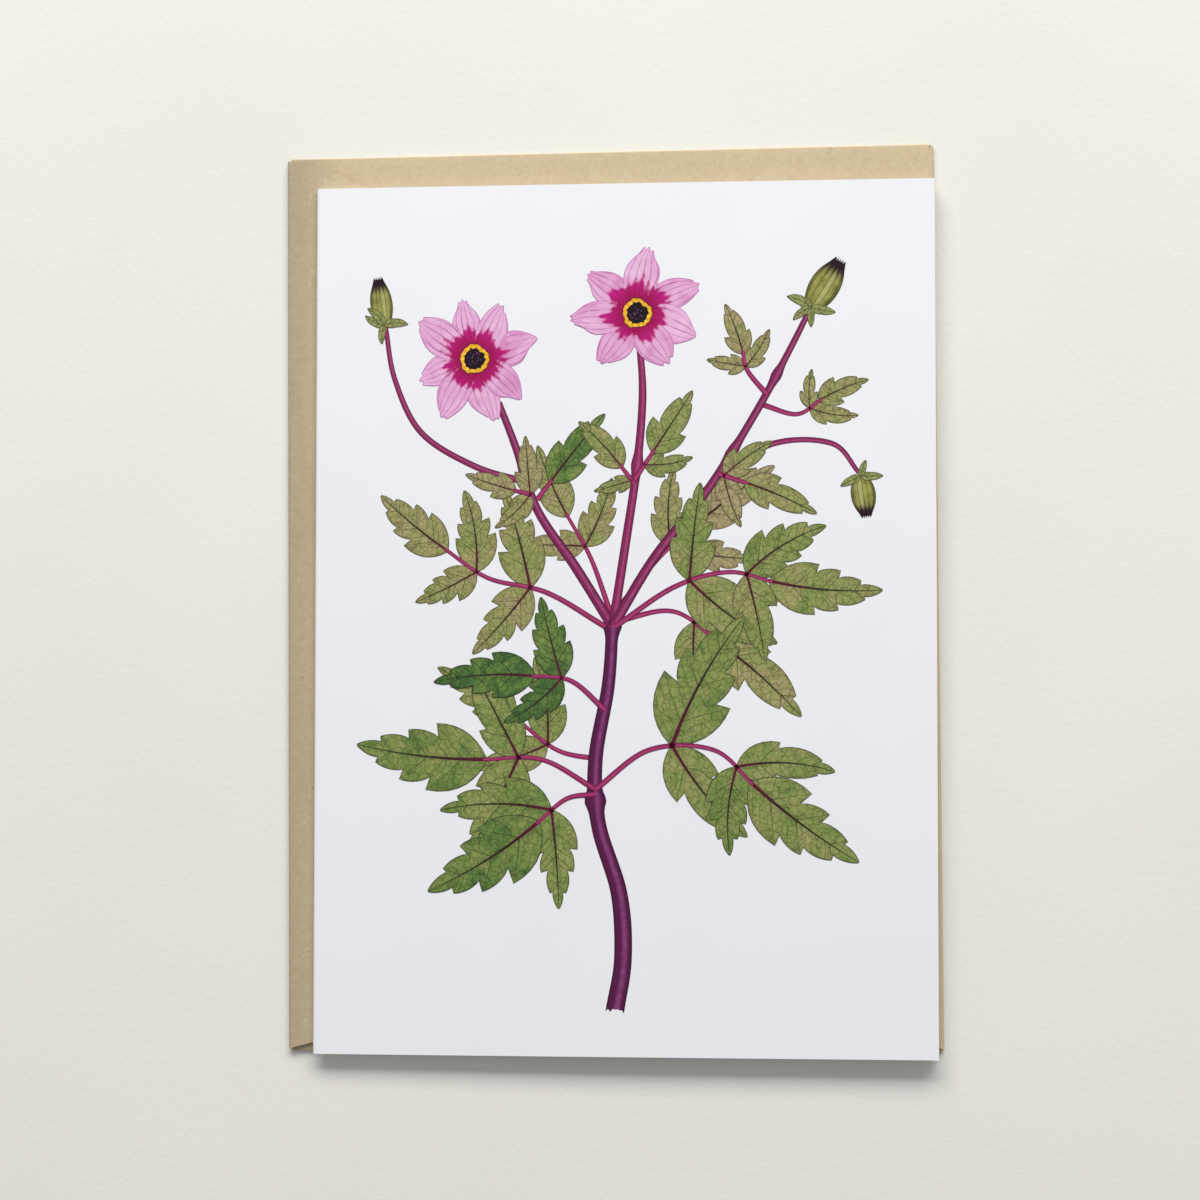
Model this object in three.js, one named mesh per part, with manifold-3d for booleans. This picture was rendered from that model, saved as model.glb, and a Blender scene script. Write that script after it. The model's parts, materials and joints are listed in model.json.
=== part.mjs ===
// Folded greeting card lying on its own closed envelope.
//
// Units are millimetres, +Z is up. The envelope lies face down with its flaps on top, and the
// origin is the middle of its underside, on the surface that it lies on. The card's long edges
// run along Y and its fold is on the -X side, so the cover opens about the fold from +X, up and
// over, to -X. Each folded sheet is modelled as its flat panels and its folds.

import * as THREE from 'three';
import { mergeVertices } from 'three/addons/utils/BufferGeometryUtils.js';
import Module from 'manifold-3d';

const wasm = await Module();
wasm.setup();

// Driving dimensions

const card = {
  width: 127,
  height: 177.8,
  stock: 0.38,          // thickness of one leaf
  leafGap: 0.7,         // between the two leaves at the fold
  springAngle: 0.4,     // degrees that the cover springs open by itself
  hingeClearance: 0.8,  // from the fold's axis to the edge of the cover panel
  offset: { x: 2.7, y: -4 },
  restLevel: 1.52,      // underside of the back panel
};

const envelope = {
  width: 133.35,
  height: 184.15,
  paper: 0.16,
  turn: 0.4,            // degrees about Z, against the card
  foldLip: 2,           // flat strip that joins a fold to its flap
  foldInset: 0.5,       // how far a fold stops short of the corner
  jointGap: 0.05,
};

// The flaps, in the order in which they are folded in. Each level is the flap's underside, each
// depth runs from the fold to the tip, and the slants are degrees off the square.
const sideFlap = { level: 0.56, depth: 54, shoulder: 10, slant: 30, tipSlant: 42, corner: 9 };
const backFlap = { level: 0.82, depth: 90, shoulder: 12, slant: 20, tipSlant: 20, corner: 8 };
const closingFlap = { level: 1.32, depth: 62, shoulder: 10, slant: 14, tipSlant: 26, corner: 10 };

const glue = { level: 0.74, thickness: 0.06, width: 9, length: 40, distance: 40, turn: 20 };
const gum = { level: 1.26, thickness: 0.04, width: 12, length: 96, margin: 4 };

const colours = {
  cardStock: 0xeeeef2,
  kraft: 0xc3ac86,
  glue: 0xe6ddc4,
  gum: 0xd9c49c,
};

// Small helpers

function matte(colour, roughness) {
  return new THREE.MeshStandardMaterial({ color: colour, roughness, metalness: 0 });
}

function namedMesh(name, geometry, material) {
  const mesh = new THREE.Mesh(geometry, material);
  mesh.name = name;
  return mesh;
}

function toSolid(geometry) {
  const bare = geometry.clone();
  bare.deleteAttribute('normal');
  bare.deleteAttribute('uv');
  const merged = mergeVertices(bare);
  const vertProperties = new Float32Array(merged.attributes.position.array);
  const triVerts = new Uint32Array(merged.index.array);
  return new wasm.Manifold(new wasm.Mesh({ numProp: 3, vertProperties, triVerts }));
}

function toGeometry(solid) {
  const mesh = solid.getMesh();
  const geometry = new THREE.BufferGeometry();
  geometry.setAttribute('position', new THREE.BufferAttribute(mesh.vertProperties, 3));
  geometry.setIndex(new THREE.BufferAttribute(mesh.triVerts, 1));
  geometry.computeVertexNormals();
  return geometry;
}

// A sheet lying flat, from low to high along X and centred on Y, with its underside at a level.
function flatSheet(lowX, highX, length, thickness, level) {
  const sheet = new THREE.BoxGeometry(highX - lowX, length, thickness);
  sheet.translate((lowX + highX) / 2, 0, level + thickness / 2);
  return sheet;
}

// Half a tube along Y whose leftmost line is x = 0: it starts flat on z = 0 and turns over the
// top. A lip, when there is one, runs on from the upper end.
function foldOver(height, thickness, length, lip) {
  const radius = height / 2;
  const section = new THREE.Shape();
  section.moveTo(radius, 0);
  section.absarc(radius, radius, radius, -Math.PI / 2, Math.PI / 2, true);
  if (lip > 0) {
    section.lineTo(radius + lip, height);
    section.lineTo(radius + lip, height - thickness);
  }
  section.lineTo(radius, height - thickness);
  section.absarc(radius, radius, radius - thickness, Math.PI / 2, 1.5 * Math.PI, false);
  section.closePath();
  const fold = new THREE.ExtrudeGeometry(section, {
    depth: length,
    bevelEnabled: false,
    curveSegments: 8,
  });
  fold.rotateX(Math.PI / 2);
  fold.translate(0, length / 2, 0);
  return fold;
}

// The flat part of a flap whose fold runs along Y at x = 0. Its sides lean in by one slant up to
// the shoulder and by another after it, and its tip has round corners.
function flapOutline(flap, foldLength, startX) {
  const lean = Math.tan(THREE.MathUtils.degToRad(flap.slant));
  const tipLean = Math.tan(THREE.MathUtils.degToRad(flap.tipSlant));
  const halfAt = (x) =>
    foldLength / 2 - Math.min(x, flap.shoulder) * lean - Math.max(x - flap.shoulder, 0) * tipLean;
  const soft = flap.shoulder / 2;
  const outline = new THREE.Shape();
  outline.moveTo(startX, -halfAt(startX));
  outline.lineTo(flap.shoulder - soft, -halfAt(flap.shoulder - soft));
  outline.quadraticCurveTo(
    flap.shoulder, -halfAt(flap.shoulder),
    flap.shoulder + soft, -halfAt(flap.shoulder + soft));
  outline.lineTo(flap.depth - flap.corner, -halfAt(flap.depth - flap.corner));
  outline.quadraticCurveTo(
    flap.depth, -halfAt(flap.depth),
    flap.depth, -halfAt(flap.depth) + flap.corner);
  outline.lineTo(flap.depth, halfAt(flap.depth) - flap.corner);
  outline.quadraticCurveTo(
    flap.depth, halfAt(flap.depth),
    flap.depth - flap.corner, halfAt(flap.depth - flap.corner));
  outline.lineTo(flap.shoulder + soft, halfAt(flap.shoulder + soft));
  outline.quadraticCurveTo(
    flap.shoulder, halfAt(flap.shoulder),
    flap.shoulder - soft, halfAt(flap.shoulder - soft));
  outline.lineTo(startX, halfAt(startX));
  outline.closePath();
  return outline;
}

// A flap and its fold in one sheet.
function foldedFlap(flap, edgeLength) {
  const height = flap.level + envelope.paper;
  const foldLength = edgeLength - 2 * envelope.foldInset;
  const startX = height / 2 + envelope.foldLip / 2;
  const plate = new THREE.ExtrudeGeometry(flapOutline(flap, foldLength, startX), {
    depth: envelope.paper,
    bevelEnabled: false,
    curveSegments: 6,
  });
  plate.translate(0, 0, flap.level);
  const trimAngle = THREE.MathUtils.degToRad(flap.slant);
  const lipTrim = Math.tan(trimAngle) * startX;
  const fold = foldOver(height, envelope.paper, foldLength - 2 * lipTrim, envelope.foldLip);
  return toGeometry(toSolid(fold).add(toSolid(plate)));
}

// Envelope

function makeEnvelope() {
  const kraft = () => matte(colours.kraft, 0.9);
  const group = new THREE.Group();
  group.rotation.z = THREE.MathUtils.degToRad(envelope.turn);

  // The front panel stops where each fold begins to curl.
  const curl = (flap) => (flap.level + envelope.paper) / 2 + envelope.jointGap;
  const leftX = -envelope.width / 2 + curl(closingFlap);
  const rightX = envelope.width / 2 - curl(backFlap);
  const panelHeight = envelope.height - 2 * curl(sideFlap);
  const panel = flatSheet(leftX, rightX, panelHeight, envelope.paper, 0);
  group.add(namedMesh('envelope_front_panel', panel, kraft()));

  for (const [name, side] of [['upper', 1], ['lower', -1]]) {
    const flap = namedMesh(
      `envelope_${name}_side_flap`, foldedFlap(sideFlap, envelope.width), kraft());
    flap.rotation.z = -side * Math.PI / 2;
    flap.position.y = side * envelope.height / 2;
    group.add(flap);

    const strip = new THREE.BoxGeometry(glue.length, glue.width, glue.thickness);
    const bead = namedMesh(`${name}_seam_glue`, strip, matte(colours.glue, 0.6));
    bead.rotation.z = side * THREE.MathUtils.degToRad(glue.turn);
    bead.position.set(
      envelope.width / 2 - glue.distance,
      side * (envelope.height / 2 - glue.distance / 2 - glue.width / 2),
      glue.level + glue.thickness / 2);
    group.add(bead);
  }

  const back = namedMesh('envelope_back_flap', foldedFlap(backFlap, envelope.height), kraft());
  back.rotation.z = Math.PI;
  back.position.x = envelope.width / 2;
  group.add(back);

  const closing = namedMesh(
    'envelope_closing_flap', foldedFlap(closingFlap, envelope.height), kraft());
  closing.position.x = -envelope.width / 2;
  group.add(closing);

  const gumEnd = -envelope.width / 2 + closingFlap.depth - gum.margin;
  const gumStrip = flatSheet(gumEnd - gum.width, gumEnd, gum.length, gum.thickness, gum.level);
  group.add(namedMesh('closing_flap_gum', gumStrip, matte(colours.gum, 0.35)));
  return group;
}

// Card

function makeCard() {
  const stock = () => matte(colours.cardStock, 0.75);
  const group = new THREE.Group();
  group.position.set(card.offset.x, card.offset.y, card.restLevel);
  const foldHeight = 2 * card.stock + card.leafGap;
  const axisX = -card.width / 2 + foldHeight / 2;

  const backStart = axisX + envelope.jointGap;
  const back = flatSheet(backStart, card.width / 2, card.height, card.stock, 0);
  group.add(namedMesh('card_back_panel', back, stock()));

  const fold = foldOver(foldHeight, card.stock, card.height, 0);
  fold.translate(-card.width / 2, 0, 0);
  group.add(namedMesh('card_fold', fold, stock()));

  // The cover turns about the middle of the fold, so at 180 degrees it lies level with the back.
  const hinge = new THREE.Group();
  hinge.position.set(axisX, 0, foldHeight / 2);
  hinge.rotation.y = -THREE.MathUtils.degToRad(card.springAngle);
  const cover = flatSheet(
    card.hingeClearance, card.width / 2 - axisX, card.height, card.stock, card.leafGap / 2);
  hinge.add(namedMesh('card_front_cover', cover, stock()));
  group.add(hinge);
  return group;
}

const greetingCard = new THREE.Group();
greetingCard.add(makeEnvelope());
greetingCard.add(makeCard());

export default greetingCard;
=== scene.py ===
# A folded greeting card with a dahlia sprig printed on its cover, lying on its kraft envelope.
import json
import math
import random

import bmesh
import bpy
from mathutils import Matrix, Vector
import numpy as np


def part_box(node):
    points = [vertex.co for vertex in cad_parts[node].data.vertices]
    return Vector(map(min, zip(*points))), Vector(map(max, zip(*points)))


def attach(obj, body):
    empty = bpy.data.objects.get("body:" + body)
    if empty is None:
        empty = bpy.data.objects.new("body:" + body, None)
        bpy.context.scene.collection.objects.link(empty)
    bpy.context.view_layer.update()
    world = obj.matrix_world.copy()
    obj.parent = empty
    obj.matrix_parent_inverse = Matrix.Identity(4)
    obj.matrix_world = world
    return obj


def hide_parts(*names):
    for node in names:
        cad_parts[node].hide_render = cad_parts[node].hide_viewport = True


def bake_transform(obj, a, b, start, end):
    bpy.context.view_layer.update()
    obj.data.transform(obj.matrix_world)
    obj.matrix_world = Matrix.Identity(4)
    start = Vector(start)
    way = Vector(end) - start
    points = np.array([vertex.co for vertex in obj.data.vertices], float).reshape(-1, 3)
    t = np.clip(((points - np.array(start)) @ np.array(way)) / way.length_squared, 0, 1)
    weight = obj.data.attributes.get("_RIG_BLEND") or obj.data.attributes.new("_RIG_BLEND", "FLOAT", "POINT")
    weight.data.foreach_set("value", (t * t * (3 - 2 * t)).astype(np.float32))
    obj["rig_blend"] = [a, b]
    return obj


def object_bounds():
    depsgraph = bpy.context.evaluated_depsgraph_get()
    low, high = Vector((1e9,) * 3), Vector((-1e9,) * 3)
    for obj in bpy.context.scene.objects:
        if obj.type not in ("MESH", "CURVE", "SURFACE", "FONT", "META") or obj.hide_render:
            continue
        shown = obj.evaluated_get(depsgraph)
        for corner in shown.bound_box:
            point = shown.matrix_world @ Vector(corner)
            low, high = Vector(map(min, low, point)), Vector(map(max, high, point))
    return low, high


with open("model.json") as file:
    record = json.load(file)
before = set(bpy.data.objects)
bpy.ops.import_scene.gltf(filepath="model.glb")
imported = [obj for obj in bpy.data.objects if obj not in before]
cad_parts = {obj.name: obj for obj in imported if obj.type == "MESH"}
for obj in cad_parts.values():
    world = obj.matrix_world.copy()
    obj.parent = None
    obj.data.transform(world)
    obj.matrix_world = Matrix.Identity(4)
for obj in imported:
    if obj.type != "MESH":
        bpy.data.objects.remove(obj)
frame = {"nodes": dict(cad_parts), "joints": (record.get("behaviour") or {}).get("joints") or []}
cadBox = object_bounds()
mm = 0.001
print("frame loaded")

# small helpers for meshes and materials


def paintColour(red, green, blue):
    # turns the 0 to 255 values of a colour picker into the renderer's own linear values
    def linear(value):
        share = value / 255
        return share / 12.92 if share <= 0.04045 else ((share + 0.055) / 1.055) ** 2.4
    return (linear(red), linear(green), linear(blue), 1.0)


def mix(low, high, share):
    return low + (high - low) * share


def smoothStep(share):
    share = min(max(share, 0.0), 1.0)
    return share * share * (3 - 2 * share)


def addNode(tree, kind, inputs=None, **settings):
    made = tree.nodes.new("ShaderNode" + kind)
    for name, value in settings.items():
        setattr(made, name, value)
    for name, value in (inputs or {}).items():
        socket = made.inputs[name]
        if isinstance(value, bpy.types.NodeSocket):
            tree.links.new(value, socket)
        else:
            socket.default_value = value
    return made


def mixColour(tree, factor, first, second):
    made = addNode(tree, "Mix", {0: factor, 6: first, 7: second}, data_type="RGBA")
    return made.outputs[2]


def remap(tree, value, fromLow, fromHigh, toLow=0.0, toHigh=1.0, smooth=False):
    inputs = {"Value": value, 1: fromLow, 2: fromHigh, 3: toLow, 4: toHigh}
    kind = "SMOOTHSTEP" if smooth else "LINEAR"
    return addNode(tree, "MapRange", inputs, interpolation_type=kind).outputs[0]


def maths(tree, operation, first, second=0.0):
    return addNode(tree, "Math", {0: first, 1: second}, operation=operation).outputs[0]


def noiseAt(tree, vector, scale, detail=2.0, roughness=0.5, distortion=0.0):
    inputs = {
        "Vector": vector, "Scale": scale, "Detail": detail,
        "Roughness": roughness, "Distortion": distortion,
    }
    return addNode(tree, "TexNoise", inputs).outputs["Fac"]


def ramp(tree, value, stops):
    made = addNode(tree, "ValToRGB", {"Fac": value})
    elements = made.color_ramp.elements
    while len(elements) < len(stops):
        elements.new(0.5)
    for element, (place, colour) in zip(elements, stops):
        element.position = place
        element.color = colour
    return made.outputs["Color"]


def shadeBy(tree, colour, amount):
    made = addNode(tree, "VectorMath", {0: colour, "Scale": amount}, operation="SCALE")
    return made.outputs[0]


def newFinish(name, roughness, specular=0.3):
    material = bpy.data.materials.new(name)
    material.use_nodes = True
    tree = material.node_tree
    shader = tree.nodes["Principled BSDF"]
    shader.inputs["Roughness"].default_value = roughness
    shader.inputs["Specular IOR Level"].default_value = specular
    place = addNode(tree, "TexCoord").outputs["Object"]
    return material, tree, shader, place


def giveBump(tree, shader, height, strength, distance):
    inputs = {"Height": height, "Strength": strength, "Distance": distance}
    bump = addNode(tree, "Bump", inputs)
    tree.links.new(bump.outputs["Normal"], shader.inputs["Normal"])


def makePiece(name, bm, finishes, body=None, stands=()):
    mesh = bpy.data.meshes.new(name)
    bm.to_mesh(mesh)
    bm.free()
    for finish in finishes:
        mesh.materials.append(finish)
    mesh.shade_smooth()
    mesh.set_sharp_from_angle(angle=math.radians(35))
    piece = bpy.data.objects.new(name, mesh)
    bpy.context.scene.collection.objects.link(piece)
    if body:
        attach(piece, body)
    if stands:
        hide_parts(*stands)
    return piece


# camera, light and floor

shot = {
    "place": (0.0516, -0.0288, 0.600),
    "tilt": (2.71, 5.125, 0.025),
    "lens": 88.39,
    "windowPlace": (0.05, 1.22, 0.86),
    "windowSize": (1.9, 0.62),
    "windowPower": 30.0,
    "fillColour": (0.95, 0.96, 1.0, 1.0),
    "fillStrength": 0.35,
    "floorColour": (237, 235, 226),
}

bpy.context.scene.view_settings.view_transform = "Standard"
cameraData = bpy.data.cameras.new("camera")
cameraData.lens = shot["lens"]
cameraData.sensor_width = 36
cameraData.clip_start = 0.01
camera = bpy.data.objects.new("camera", cameraData)
camera.location = shot["place"]
camera.rotation_euler = [math.radians(angle) for angle in shot["tilt"]]
bpy.context.scene.collection.objects.link(camera)
bpy.context.scene.camera = camera

windowData = bpy.data.lights.new("window", "AREA")
windowData.shape = "RECTANGLE"
windowData.size, windowData.size_y = shot["windowSize"]
windowData.energy = shot["windowPower"]
window = bpy.data.objects.new("window", windowData)
window.location = shot["windowPlace"]
window.rotation_euler = (-window.location).to_track_quat("-Z", "Y").to_euler()
bpy.context.scene.collection.objects.link(window)

world = bpy.data.worlds.new("room")
world.use_nodes = True
world.node_tree.nodes["Background"].inputs["Color"].default_value = shot["fillColour"]
world.node_tree.nodes["Background"].inputs["Strength"].default_value = shot["fillStrength"]
bpy.context.scene.world = world

floorFinish, tree, shader, place = newFinish("paleFloor", 0.85, 0.2)
broad = noiseAt(tree, place, 14.0, 2.0)
floorShade = remap(tree, broad, 0.3, 0.7, 0.985, 1.015)
pale = paintColour(*shot["floorColour"])
floorColour = addNode(tree, "VectorMath", {0: pale[:3], "Scale": floorShade}, operation="SCALE")
tree.links.new(floorColour.outputs[0], shader.inputs["Base Color"])
giveBump(tree, shader, noiseAt(tree, place, 900.0, 3.0), 0.25, 0.0002)
floorBm = bmesh.new()
bmesh.ops.create_grid(floorBm, x_segments=4, y_segments=4, size=2.5)
bmesh.ops.translate(floorBm, verts=floorBm.verts, vec=(0, 0, cadBox[0].z - 0.05 * mm))
floorMesh = bpy.data.meshes.new("floor")
floorBm.to_mesh(floorMesh)
floorBm.free()
floorMesh.materials.append(floorFinish)
floor = bpy.data.objects.new("floor", floorMesh)
bpy.context.scene.collection.objects.link(floor)
print("camera, light and floor ready")

# paper finishes

stockPaper = {"colour": (241, 241, 244), "tooth": 0.10, "cloud": 0.006}


def makeStockFinish():
    material, tree, shader, place = newFinish("cardStock", 0.62, 0.25)
    cloud = noiseAt(tree, place, 45.0, 3.0)
    fibre = noiseAt(tree, place, 1400.0, 4.0, 0.6)
    spread = stockPaper["cloud"]
    shade = remap(tree, cloud, 0.3, 0.7, 1 - spread, 1 + spread)
    white = paintColour(*stockPaper["colour"])
    tinted = addNode(tree, "VectorMath", {0: white[:3], "Scale": shade}, operation="SCALE")
    tree.links.new(tinted.outputs[0], shader.inputs["Base Color"])
    giveBump(tree, shader, fibre, stockPaper["tooth"], 0.00006)
    return material


kraftPaper = {
    "light": (213, 195, 162),
    "dark": (198, 178, 143),
    "fleck": (146, 118, 82),
    "paleFibre": (230, 216, 188),
}


def makeKraftFinish():
    material, tree, shader, place = newFinish("kraftPaper", 0.82, 0.2)
    pulp = noiseAt(tree, place, 900.0, 5.0, 0.7, 0.2)
    colour = ramp(tree, pulp, [
        (0.25, paintColour(*kraftPaper["dark"])),
        (0.75, paintColour(*kraftPaper["light"])),
    ])
    broad = noiseAt(tree, place, 45.0, 2.0)
    colour = shadeBy(tree, colour, remap(tree, broad, 0.25, 0.75, 0.97, 1.03))
    # painted shade: the sheet is darkened towards its side fold, standing in for the shade on the strip
    # beside the card
    across = addNode(tree, "SeparateXYZ", {"Vector": place}).outputs["X"]
    colour = shadeBy(tree, colour, remap(tree, across, -0.066, -0.054, 0.76, 1.0, True))
    # short hairs: thin contour lines of a noise, broken up by a second one
    for scale, width, tint, amount in (
            (300.0, 0.010, kraftPaper["paleFibre"], 0.4),
            (380.0, 0.008, kraftPaper["fleck"], 0.4)):
        contour = noiseAt(tree, place, scale, 1.0, 0.5, 1.2)
        distance = maths(tree, "ABSOLUTE", maths(tree, "SUBTRACT", contour, 0.5))
        line = remap(tree, distance, width, 0.0, 0.0, 1.0)
        gate = remap(tree, noiseAt(tree, place, scale * 1.9, 0.0), 0.56, 0.64)
        hair = maths(tree, "MULTIPLY", maths(tree, "MULTIPLY", line, gate), amount)
        colour = mixColour(tree, hair, colour, paintColour(*tint))
    specks = addNode(tree, "TexVoronoi", {"Vector": place, "Scale": 620.0})
    dot = remap(tree, specks.outputs["Distance"], 0.10, 0.18, 1.0, 0.0)
    picked = remap(tree, specks.outputs["Color"], 0.86, 0.90)
    speck = maths(tree, "MULTIPLY", maths(tree, "MULTIPLY", dot, picked), 0.65)
    colour = mixColour(tree, speck, colour, paintColour(*kraftPaper["fleck"]))
    tree.links.new(colour, shader.inputs["Base Color"])
    grain = noiseAt(tree, place, 1700.0, 5.0, 0.65)
    giveBump(tree, shader, maths(tree, "ADD", grain, pulp), 0.3, 0.00012)
    return material


def makeGlueFinish():
    material, tree, shader, place = newFinish("dryGlue", 0.35, 0.5)
    film = noiseAt(tree, place, 500.0, 3.0)
    colour = ramp(tree, film, [
        (0.3, paintColour(206, 184, 142)),
        (0.7, paintColour(226, 211, 178)),
    ])
    tree.links.new(colour, shader.inputs["Base Color"])
    giveBump(tree, shader, film, 0.3, 0.00005)
    return material


cardStock = makeStockFinish()
kraft = makeKraftFinish()
dryGlue = makeGlueFinish()
print("papers ready")

# the folded card

coverBox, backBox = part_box("card_front_cover"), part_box("card_back_panel")
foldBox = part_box("card_fold")
joint = frame["joints"][0]
hinge = Vector(joint["pos_m"])
spring = math.radians(180 - joint["range_deg"][1])
stock = backBox[1].z - backBox[0].z
foldRadius = hinge.z - foldBox[0].z
reach = backBox[1].x - hinge.x  # from the fold's axis to the opening edge
lowY, highY = backBox[0].y, backBox[1].y
midY, cardHeight = (lowY + highY) / 2, highY - lowY

card = {
    "backColumns": 30,
    "foldColumns": 24,
    "coverColumns": 50,
    "rows": 72,
    "crown": 0.22 * mm,
    "ripple": 0.14 * mm,
}


def coverRise(across, y):
    # how far the cover bows off the flat: a low crown, and a slow wave along the opening edge
    share = across / reach
    height = (y - midY) / cardHeight
    wave = math.cos(2 * math.pi * height + 0.5) * smoothStep(share)
    return card["crown"] * math.sin(math.pi * share) ** 2 + card["ripple"] * wave


def coverPoint(across, y, lift):
    out = foldRadius + coverRise(across, y) + lift
    x = hinge.x + across * math.cos(spring) - out * math.sin(spring)
    z = hinge.z + across * math.sin(spring) + out * math.cos(spring)
    return Vector((x, y, z))


def cardSurface(column, y):
    # the outside of the sheet, from the back panel's free edge, round the fold, to the cover's
    if column <= card["backColumns"]:
        across = reach * (1 - column / card["backColumns"])
        return Vector((hinge.x + across, y, hinge.z - foldRadius))
    column -= card["backColumns"]
    if column <= card["foldColumns"]:
        turn = (math.pi - spring) * column / card["foldColumns"]
        x = hinge.x - foldRadius * math.sin(turn)
        return Vector((x, y, hinge.z - foldRadius * math.cos(turn)))
    share = (column - card["foldColumns"]) / card["coverColumns"]
    return coverPoint(reach * share, y, 0.0)


def makeCard():
    columns = card["backColumns"] + card["foldColumns"] + card["coverColumns"]
    bm = bmesh.new()
    bmesh.ops.create_grid(bm, x_segments=columns, y_segments=card["rows"], size=1)
    for vert in bm.verts:
        column = round((vert.co.x + 1) / 2 * columns)
        vert.co = cardSurface(column, mix(lowY, highY, (vert.co.y + 1) / 2))
    bm.normal_update()
    bmesh.ops.solidify(bm, geom=bm.faces[:], thickness=stock)
    piece = makePiece("folded_card", bm, [cardStock])
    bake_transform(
        piece, "base", "cover",
        start=(hinge.x, midY, hinge.z - foldRadius + stock),
        end=(hinge.x, midY, hinge.z + foldRadius - stock))
    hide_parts("card_back_panel", "card_fold", "card_front_cover")
    return piece


makeCard()
print("card ready")

# the envelope: one kraft sheet, folded in on all four sides

envelope = {
    "width": 133.35 * mm,
    "height": 184.15 * mm,
    "turn": math.radians(0.4),
    "paper": 0.16 * mm,
    "foldInset": 0.5 * mm,
    "foldColumns": 14,
    "plateColumns": 32,
    "rows": 64,
    "wave": 0.05 * mm,
}

# level is the flap's underside, slants are degrees off the square, corner rounds its tip
flaps = {
    "envelope_upper_side_flap": {
        "side": 90, "level": 0.56, "depth": 54, "shoulder": 10, "slant": 30, "tipSlant": 42,
        "corner": 9},
    "envelope_lower_side_flap": {
        "side": -90, "level": 0.56, "depth": 54, "shoulder": 10, "slant": 30, "tipSlant": 42,
        "corner": 9},
    "envelope_back_flap": {
        "side": 0, "level": 0.82, "depth": 90, "shoulder": 12, "slant": 20, "tipSlant": 20,
        "corner": 8},
    "envelope_closing_flap": {
        "side": 180, "level": 1.32, "depth": 62, "shoulder": 10, "slant": 14, "tipSlant": 26,
        "corner": 10},
}


def flapHalf(flap, along, foldLength):
    # half the flap's width at a distance in from its fold
    lean = math.tan(math.radians(flap["slant"]))
    tipLean = math.tan(math.radians(flap["tipSlant"]))
    shoulder, corner = flap["shoulder"] * mm, flap["corner"] * mm
    past = along - shoulder
    bend = 0.5 * (past + math.hypot(past, 2.5 * mm))  # eases from one slant into the other
    half = foldLength / 2 - along * lean - bend * (tipLean - lean)
    intoCorner = along - (flap["depth"] * mm - corner)
    if intoCorner > 0:
        half -= corner - math.sqrt(max(corner ** 2 - intoCorner ** 2, 0))
    return half


def makeFlap(name, flap):
    upright = flap["side"] % 180 == 0
    edge = envelope["height"] if upright else envelope["width"]
    out = (envelope["width"] if upright else envelope["height"]) / 2
    foldLength = edge - 2 * envelope["foldInset"]
    radius = (flap["level"] * mm + envelope["paper"]) / 2
    foldColumns, plateColumns = envelope["foldColumns"], envelope["plateColumns"]
    columns = foldColumns + plateColumns
    side, turn = math.radians(flap["side"]), envelope["turn"]
    bm = bmesh.new()
    bmesh.ops.create_grid(bm, x_segments=columns, y_segments=envelope["rows"], size=1)
    for vert in bm.verts:
        column = round((vert.co.x + 1) / 2 * columns)
        if column <= foldColumns:
            bend = math.pi * column / foldColumns
            along = radius - radius * math.sin(bend)
            height = radius - radius * math.cos(bend)
        else:
            share = (column - foldColumns) / plateColumns
            along = mix(radius, flap["depth"] * mm, math.sin(share * math.pi / 2))
            height = 2 * radius
        across = vert.co.y * flapHalf(flap, along, foldLength)
        if column > foldColumns:
            height -= envelope["wave"] * (1 + math.sin(across / (9 * mm) + side)) / 2
        vert.co = (out - along, across, height)
    bmesh.ops.rotate(bm, verts=bm.verts, matrix=Matrix.Rotation(side + turn, 3, "Z"))
    bmesh.ops.reverse_faces(bm, faces=bm.faces[:])
    bm.normal_update()
    bmesh.ops.solidify(bm, geom=bm.faces[:], thickness=envelope["paper"])
    return makePiece(name + "_sheet", bm, [kraft], "base", [name])


def makeFrontPanel():
    radii = {name: (flap["level"] * mm + envelope["paper"]) / 2 for name, flap in flaps.items()}
    left = -envelope["width"] / 2 + radii["envelope_closing_flap"]
    right = envelope["width"] / 2 - radii["envelope_back_flap"]
    top = envelope["height"] / 2 - radii["envelope_upper_side_flap"]
    bm = bmesh.new()
    bmesh.ops.create_grid(bm, x_segments=40, y_segments=56, size=1)
    for vert in bm.verts:
        x = mix(left, right, (vert.co.x + 1) / 2)
        vert.co = (x, vert.co.y * top, 0)
    bmesh.ops.rotate(bm, verts=bm.verts, matrix=Matrix.Rotation(envelope["turn"], 3, "Z"))
    bmesh.ops.reverse_faces(bm, faces=bm.faces[:])
    bm.normal_update()
    bmesh.ops.solidify(bm, geom=bm.faces[:], thickness=envelope["paper"])
    name = "envelope_front_panel"
    return makePiece(name + "_sheet", bm, [kraft], "base", [name])


makeFrontPanel()
for name, flap in flaps.items():
    makeFlap(name, flap)
for name in ("upper_seam_glue", "lower_seam_glue", "closing_flap_gum"):
    glued = frame["nodes"][name]
    glued.data.materials.clear()
    glued.data.materials.append(dryGlue)
print("envelope ready")

# the print: a dahlia sprig in paint and ink on the cover
# places are in millimetres, from the fold and from the lower edge of the cover

paint = {
    "layer": 0.014, "leaflet": 0.0028, "vein": 0.0008, "outline": 0.0013, "rib": 0.0019,
    "stalk": 0.0025, "joint": 0.0032, "sink": 0.004, "stalkSteps": 40, "stemSteps": 72,
}


def onCover(x, y, lift):
    return coverPoint(x * mm - foldRadius, lowY + y * mm, lift * mm)


def startPaint():
    bm = bmesh.new()
    bm.loops.layers.uv.new("paint")
    bm.verts.layers.float.new("tone")
    return bm


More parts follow.
